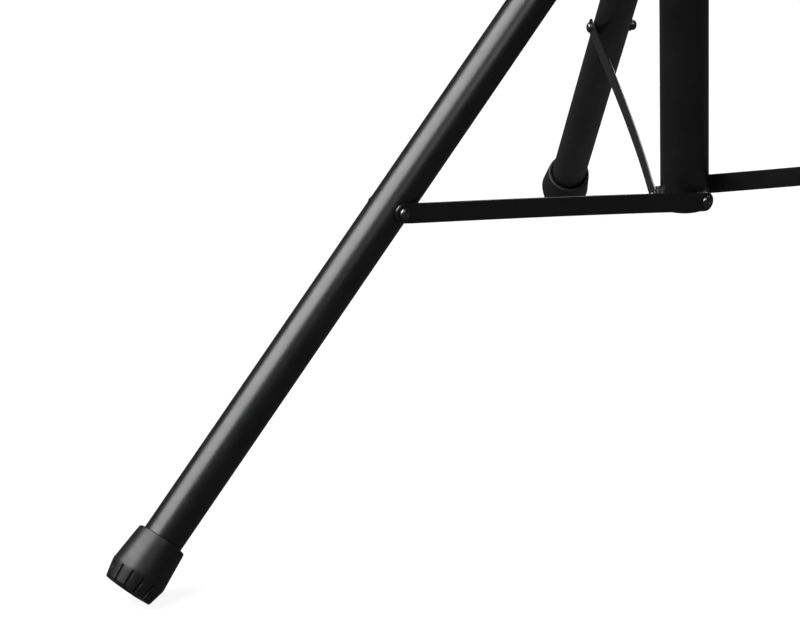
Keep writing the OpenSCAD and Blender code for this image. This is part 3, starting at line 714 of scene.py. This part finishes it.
def socket_or_round(r, z, angle):
    """Hexagonal key socket in a domed head; everything else stays round."""
    in_socket = r < KEY_SOCKET / 2 + 0.1 and z > HUB_FORK + 1.2
    return (r * hexagon(KEY_SOCKET, angle) / (KEY_SOCKET / 2), z) if in_socket else (r, z)


def hex_sides(across):
    def shape(r, z, angle):
        return (min(r, hexagon(across, angle)), z) if r > across * 0.36 else (r, z)
    return shape


for leg in LEGS:
    pivot = axes(leg.pivot, leg.left, leg.out)
    tail = HUB_FORK + 5.6
    face = HUB_FORK + 0.06
    turn(bolts, [
        (0, -tail, 0), (PIVOT_R, -tail, 0.5), (PIVOT_R, face, 0.05), (PIVOT_HEAD_R, face, 0.12),
        (PIVOT_HEAD_R, face + 0.25, 0.1), *ball_cap(PIVOT_HEAD_R - 0.05, PIVOT_HEAD_H, face + 0.28, 2.5),
        (KEY_SOCKET / 2, face + 2.5, 0), (KEY_SOCKET / 2, face + 1.4, 0), (0, face + 1.35, 0),
    ], pivot, 96, steps=2, radius=socket_or_round)
    turn(nuts, [
        (PIVOT_BORE_R, 0, 0.2), (5.2, 0, 0), (5.72, 0.45, 0), (5.72, 4.2, 0), (5.0, 4.95, 0),
        (3.5, 4.95, 0.1), (PIVOT_BORE_R, 4.5, 0.1),
    ], pivot @ Matrix.Translation((0, 0, -face * MM)) @ Matrix.Rotation(math.pi, 4, "X"), 96, True,
        radius=hex_sides(PIVOT_NUT), step=0.6)
    for side in (-1, 1):
        low, high = side * WASHER_AT - WASHER_T / 2, side * WASHER_AT + WASHER_T / 2
        turn(washers, [
            (PIVOT_BORE_R, low, 0.1), (WASHER_R, low, 0.25), (WASHER_R, high, 0.25),
            (PIVOT_BORE_R, high, 0.1),
        ], pivot, 96, True)
made("hub_pivot_bolts", bolts, "hub", "black_steel", None, "hub_bolts", 30.0)
made("hub_pivot_nuts", nuts, "hub", "black_steel", None, "hub_nuts", 30.0)
made("hub_spacers", washers, "hub", "washer_plastic", None, "hub_washers")

from_cad("hub_casting", "leg_hub", "hub", HUB_PAINT, 0.0006)
from_cad("height_clamp_casting", "height_clamp_body", "stand_base", HUB_PAINT, 0.0006)
from_cad("clamp_bushing", "height_clamp_bushing", "stand_base", KNOB_PLASTIC, 0.0004)
from_cad("clamp_screws", "height_clamp_screws", "stand_base", BLACK_STEEL, 0.00015, 2)
from_cad("stop_ring", "hub_stop_ring", "stand_base", HUB_PAINT, 0.0003)
from_cad("clamp_pad", "hub_clamp_pad", "hub", BRASS, 0.0003, 2)
for leg in LEGS:
    from_cad(leg.side + "_tube_plug", leg.side + "_leg_plug", leg.side + "_leg",
             KNOB_PLASTIC, 0.0005)


# ---------- tilt joint ----------

TILT = Vector(JOINTS["desk_tilt"]["pos_m"])
LEAN = math.asin(next(m for m in frame["record"]["mounts"] if m["name"] == "desk_front")["axis"][2])
DESK = Matrix.Translation(TILT) @ Matrix.Rotation(-LEAN, 4, "X")
desk_up = (DESK.to_3x3() @ Z).normalized()
DISC_AT, DISC_T, DISC_R = 8.5, 0.88, 10.0
HEX_HEAD, HEX_HEAD_H, THREAD_FROM = 15.0, 5.45, 12.0

from_cad("tilt_head_casting", "tilt_head", "column", HUB_PAINT, 0.0006)
from_cad("desk_bracket_pressing", "desk_bracket", "desk", HUB_PAINT, 0.0006)

bm = bmesh.new()
for side in (-1, 1):
    low, high = side * DISC_AT - DISC_T / 2, side * DISC_AT + DISC_T / 2
    turn(bm, [(M8_BORE_R, low, 0.1), (DISC_R, low, 0.2), (DISC_R, high, 0.2), (M8_BORE_R, high, 0.1)],
         None, 96, True)
made("friction_discs", bm, "column", "friction_fibre", axes(TILT, X, -Z), "tilt_friction_washers")

low, high = (v / MM for v in span("tilt_bolt", TILT, X))
across_x = axes(TILT, X, -desk_up)
bm = bmesh.new()
turn(bm, [
    (0, low, 0), (5.9, low, 0.1), (6.3, low + 0.05, 0.1), (HEX_HEAD / 2, low + 1.3, 0.05),
    (HEX_HEAD / 2, low + HEX_HEAD_H, 0.1), (0, low + HEX_HEAD_H, 0),
], None, 96, radius=hex_sides(HEX_HEAD), step=0.7)
turn(bm, [
    (0, low + 4.5, 0), (M8_STUD_R, low + 4.5, 0.1), (M8_STUD_R, THREAD_FROM, 0.1), (0, THREAD_FROM, 0),
], None, 48)
turn(bm, [
    (0, THREAD_FROM - 0.2, 0), (M8_STUD_R, THREAD_FROM - 0.2, 0.1), (M8_STUD_R, high, 0.5), (0, high, 0),
], None, 48, radius=threaded(M8_STUD_R, M8_PITCH), step=M8_PITCH / 6)
made("tilt_pivot_bolt", bm, "desk", "black_steel", across_x, "tilt_bolt", 30.0)

low, high = (v / MM for v in span("tilt_bolt_washer", TILT, X))
bm = bmesh.new()
turn(bm, [(M8_BORE_R, low, 0.15), (8.5, low, 0.3), (8.5, high, 0.3), (M8_BORE_R, high, 0.15)], None, 96, True)
made("tilt_plain_washer", bm, "desk", "bare_steel", across_x, "tilt_bolt_washer")

start, high = (v / MM for v in span("tilt_knob_insert", TILT, X))
knob("tilt_star_knob", "tilt_knob", "tilt_knob", TILT + X * start * MM, X, -desk_up, M8_BORE_R, (5.5, 6.0))
bm = bmesh.new()
insert_r, bottom = 5.45, start + 0.02
turn(bm, [(M8_BORE_R, bottom, 0.2), (insert_r, bottom, 0.15), (insert_r, high, 0.15), (M8_BORE_R, high, 0.2)],
     None, 96, True, radius=hex_sides(2 * insert_r))
made("tilt_knob_nut", bm, "tilt_knob", "brass", across_x, "tilt_knob_insert", 30.0)


# ---------- desk: local X across, Y to its back, Z up it, from the tilt axis ----------

BACK_Y, SHEET, HALF, TOP, FLOOR = -24.0, 1.2, 250.0, 240.0, -100.0
BEND, CORNER, RIM, LEDGE, LIP = 3.0, 20.0, 2.2, 62.0, 14.0
RIVETS_X, RIVETS_Z = 33, 24
LIP_Y = BACK_Y - SHEET - LEDGE


def desk_stations():
    """Down the sheet: (outer y, outer z, inner y, inner z, half width) at each station."""
    centre = (BACK_Y - BEND, FLOOR + BEND)
    lip_centre = (LIP_Y + BEND, FLOOR + BEND)
    side = HALF - RIM
    curve = CORNER - RIM
    for k in range(13):
        a = math.pi / 2 * (1 - k / 12)
        z = TOP - CORNER + curve * math.sin(a)
        yield BACK_Y, z, BACK_Y - SHEET, z, HALF - CORNER + curve * math.cos(a)
    for k in range(1, 12):
        z = TOP - CORNER + (centre[1] + 0.4 - TOP + CORNER) * k / 11
        yield BACK_Y, z, BACK_Y - SHEET, z, side
    for bend_centre, first in ((centre, 0), (lip_centre, -90)):
        for k in range(9):
            a = math.radians(first - 90 * k / 8)
            ends = [bend_centre[axis] + radius * (math.cos(a), math.sin(a))[axis]
                    for radius in (BEND, BEND - SHEET) for axis in (0, 1)]
            yield *ends, HALF - CORNER / 4
    yield LIP_Y, FLOOR + LIP - SHEET, LIP_Y + SHEET, FLOOR + LIP - SHEET, HALF - CORNER / 4


def sweep(bm, path, radius, segments=20):
    """Round bead along a path in the desk's X-Z plane, its two ends rounded."""
    rings = []
    count = len(path)
    for i, here in enumerate(path):
        before, after = path[max(i - 1, 0)], path[min(i + 1, count - 1)]
        ahead = (after - before).normalized()
        out = Y.cross(ahead)
        rings.append([here + (out * math.cos(a) + Y * math.sin(a)) * radius
                      for a in (2 * math.pi * k / segments for k in range(segments))])
    capped = []
    for ring, here, inward in ((rings[0], path[0], path[1]), (rings[-1], path[-1], path[-2])):
        ahead = (inward - here).normalized()
        capped.append([[here + (p - here) * math.sin(a) + ahead * radius * (1 - math.cos(a)) * 0.5
                        for p in ring] for a in (0.25, 0.6, 1.0)])
    rings = capped[0] + rings[1:-1] + capped[1][::-1]
    made_rings = [[bm.verts.new(p * MM) for p in ring] for ring in rings]
    for a, b in zip(made_rings, made_rings[1:]):
        for i in range(segments):
            j = (i + 1) % segments
            bm.faces.new((a[i], a[j], b[j], b[i]))
    bm.faces.new(made_rings[0])
    bm.faces.new(made_rings[-1])


bm = bmesh.new()
rows = []
for y0, z0, y1, z1, half in desk_stations():
    around = ((-half, y0, z0), (half, y0, z0), (half, y1, z1), (-half, y1, z1))
    rows.append([bm.verts.new(Vector(p) * MM) for p in around])
for a, b in zip(rows, rows[1:]):
    for i in range(4):
        j = (i + 1) % 4
        bm.faces.new((a[i], a[j], b[j], b[i]))
bm.faces.new(rows[0])
bm.faces.new(rows[-1])
rim_y = BACK_Y - SHEET / 2
corner_path = [Vector((-HALF + RIM, rim_y, z)) for z in (FLOOR + BEND, 0, TOP - CORNER - 2)]
for side, first in ((-1, 180), (1, 90)):
    for k in range(17):
        a = math.radians(first - 90 * k / 16)
        corner_path.append(Vector((side * (HALF - CORNER) + (CORNER - RIM) * math.cos(a), rim_y,
                                   TOP - CORNER + (CORNER - RIM) * math.sin(a))))
corner_path += [Vector((HALF - RIM, rim_y, z)) for z in (TOP - CORNER - 2, 0, FLOOR + BEND)]
sweep(bm, corner_path, RIM)
lip_end = HALF - CORNER / 4
lip_xs = (-lip_end, -lip_end + 2, lip_end - 2, lip_end)
sweep(bm, [Vector((x, LIP_Y + SHEET / 2, FLOOR + LIP - SHEET)) for x in lip_xs], 1.5)
made("desk_pressing", bm, "desk", "black_paint", DESK, "desk_panel", 30.0, DESK_PAINT)

bm = bmesh.new()
for x in (-RIVETS_X, RIVETS_X):
    for w in (-RIVETS_Z, RIVETS_Z):
        place = Matrix.Translation((x * MM, 0, w * MM)) @ axes(Vector((0, 0, 0)), Y, X)
        front, back = BACK_Y - SHEET - 0.03, BACK_Y + 3.1
        turn(bm, [(0, front, 0), (2.0, front, 0.1), (2.0, back + 0.2, 0), (0, back + 0.2, 0)], place, 48)
        dome(bm, place, 3.4, 1.6, back, 0.8)
made("desk_plate_rivets", bm, "desk", "black_steel", DESK, "desk_rivets")


# ---------- floor, light, camera ----------

def softbox(name, aim, direction, distance, width, height, power):
    """Rectangular area light that faces aim from a direction."""
    light = bpy.data.lights.new(name, "AREA")
    light.shape = "RECTANGLE"
    light.size = width
    light.size_y = height
    light.energy = power
    lamp = bpy.data.objects.new(name, light)
    scene.collection.objects.link(lamp)
    direction = Vector(direction).normalized()
    lamp.matrix_world = axes(Vector(aim) + direction * distance, direction, Z)
    return lamp


def pale_floor():
    bm = bmesh.new()
    lathe(bm, [(0, 0), (2, 0), (12, 0), (40, 0)], 64)
    mesh = bpy.data.meshes.new("floor")
    bmesh.ops.recalc_face_normals(bm, faces=bm.faces)
    bm.to_mesh(mesh)
    bm.free()
    floor = bpy.data.objects.new("floor", mesh)
    scene.collection.objects.link(floor)
    s = Shader("pale_floor", Roughness=0.8, Specular_IOR_Level=0.2,
               Emission_Color=(1, 1, 1, 1), Emission_Strength=0.90)
    s.colours(s.noise(3, 2), (0.3, grey(0.10)), (0.7, grey(0.11)))
    mesh.materials.append(s.material)
    floor.visible_glossy = False
    floor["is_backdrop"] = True


pale_floor()
AIM = COLUMN + Vector((-0.12, -0.03, 0.15))
softbox("key", AIM, (-0.562, -0.127, 0.817), 2.6, 2.2, 3.0, 190)
softbox("fill", AIM, (0.36, -0.80, 0.80), 3.0, 1.0, 1.0, 12)
softbox("back", AIM, (0.45, 0.75, 0.55), 3.4, 1.8, 1.2, 40)

world = bpy.data.worlds.new("studio")
scene.world = world
world.use_nodes = True
tree = world.node_tree
sky = tree.nodes["Background"]
sky.inputs["Strength"].default_value = 1.0
path = tree.nodes.new("ShaderNodeLightPath")
direction = tree.nodes.new("ShaderNodeTexCoord")
parts = tree.nodes.new("ShaderNodeSeparateXYZ")
shade = tree.nodes.new("ShaderNodeValToRGB")
for element, (place, tone) in zip(shade.color_ramp.elements, ((0.0, 0.07), (0.12, 0.02))):
    element.position = place
    element.color = (tone, tone, tone, 1)
mix = tree.nodes.new("ShaderNodeMix")
mix.data_type = "RGBA"
mix.inputs["B"].default_value = (1.0, 1.0, 1.0, 1)
tree.links.new(direction.outputs["Generated"], parts.inputs["Vector"])
tree.links.new(parts.outputs["Z"], shade.inputs["Fac"])
tree.links.new(shade.outputs["Color"], mix.inputs["A"])
tree.links.new(path.outputs["Is Camera Ray"], mix.inputs["Factor"])
tree.links.new(mix.outputs["Result"], sky.inputs["Color"])
scene.view_settings.view_transform = "Standard"

camera = bpy.data.objects.new("camera", bpy.data.cameras.new("camera"))
scene.collection.objects.link(camera)
camera.data.sensor_width = 36.0
camera.data.lens = 155.25
camera.data.clip_end = 100.0
heading, pitch, roll = math.radians(7.287), math.radians(20.537), math.radians(-1.91)
camera.matrix_world = (
    Matrix.Translation(COLUMN + Vector((-0.35650, -1.63125, 0.68302)))
    @ Matrix.Rotation(-heading, 4, "Z")
    @ Matrix.Rotation(math.pi / 2 - pitch, 4, "X")
    @ Matrix.Rotation(roll, 4, "Z")
)
scene.camera = camera

low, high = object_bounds()
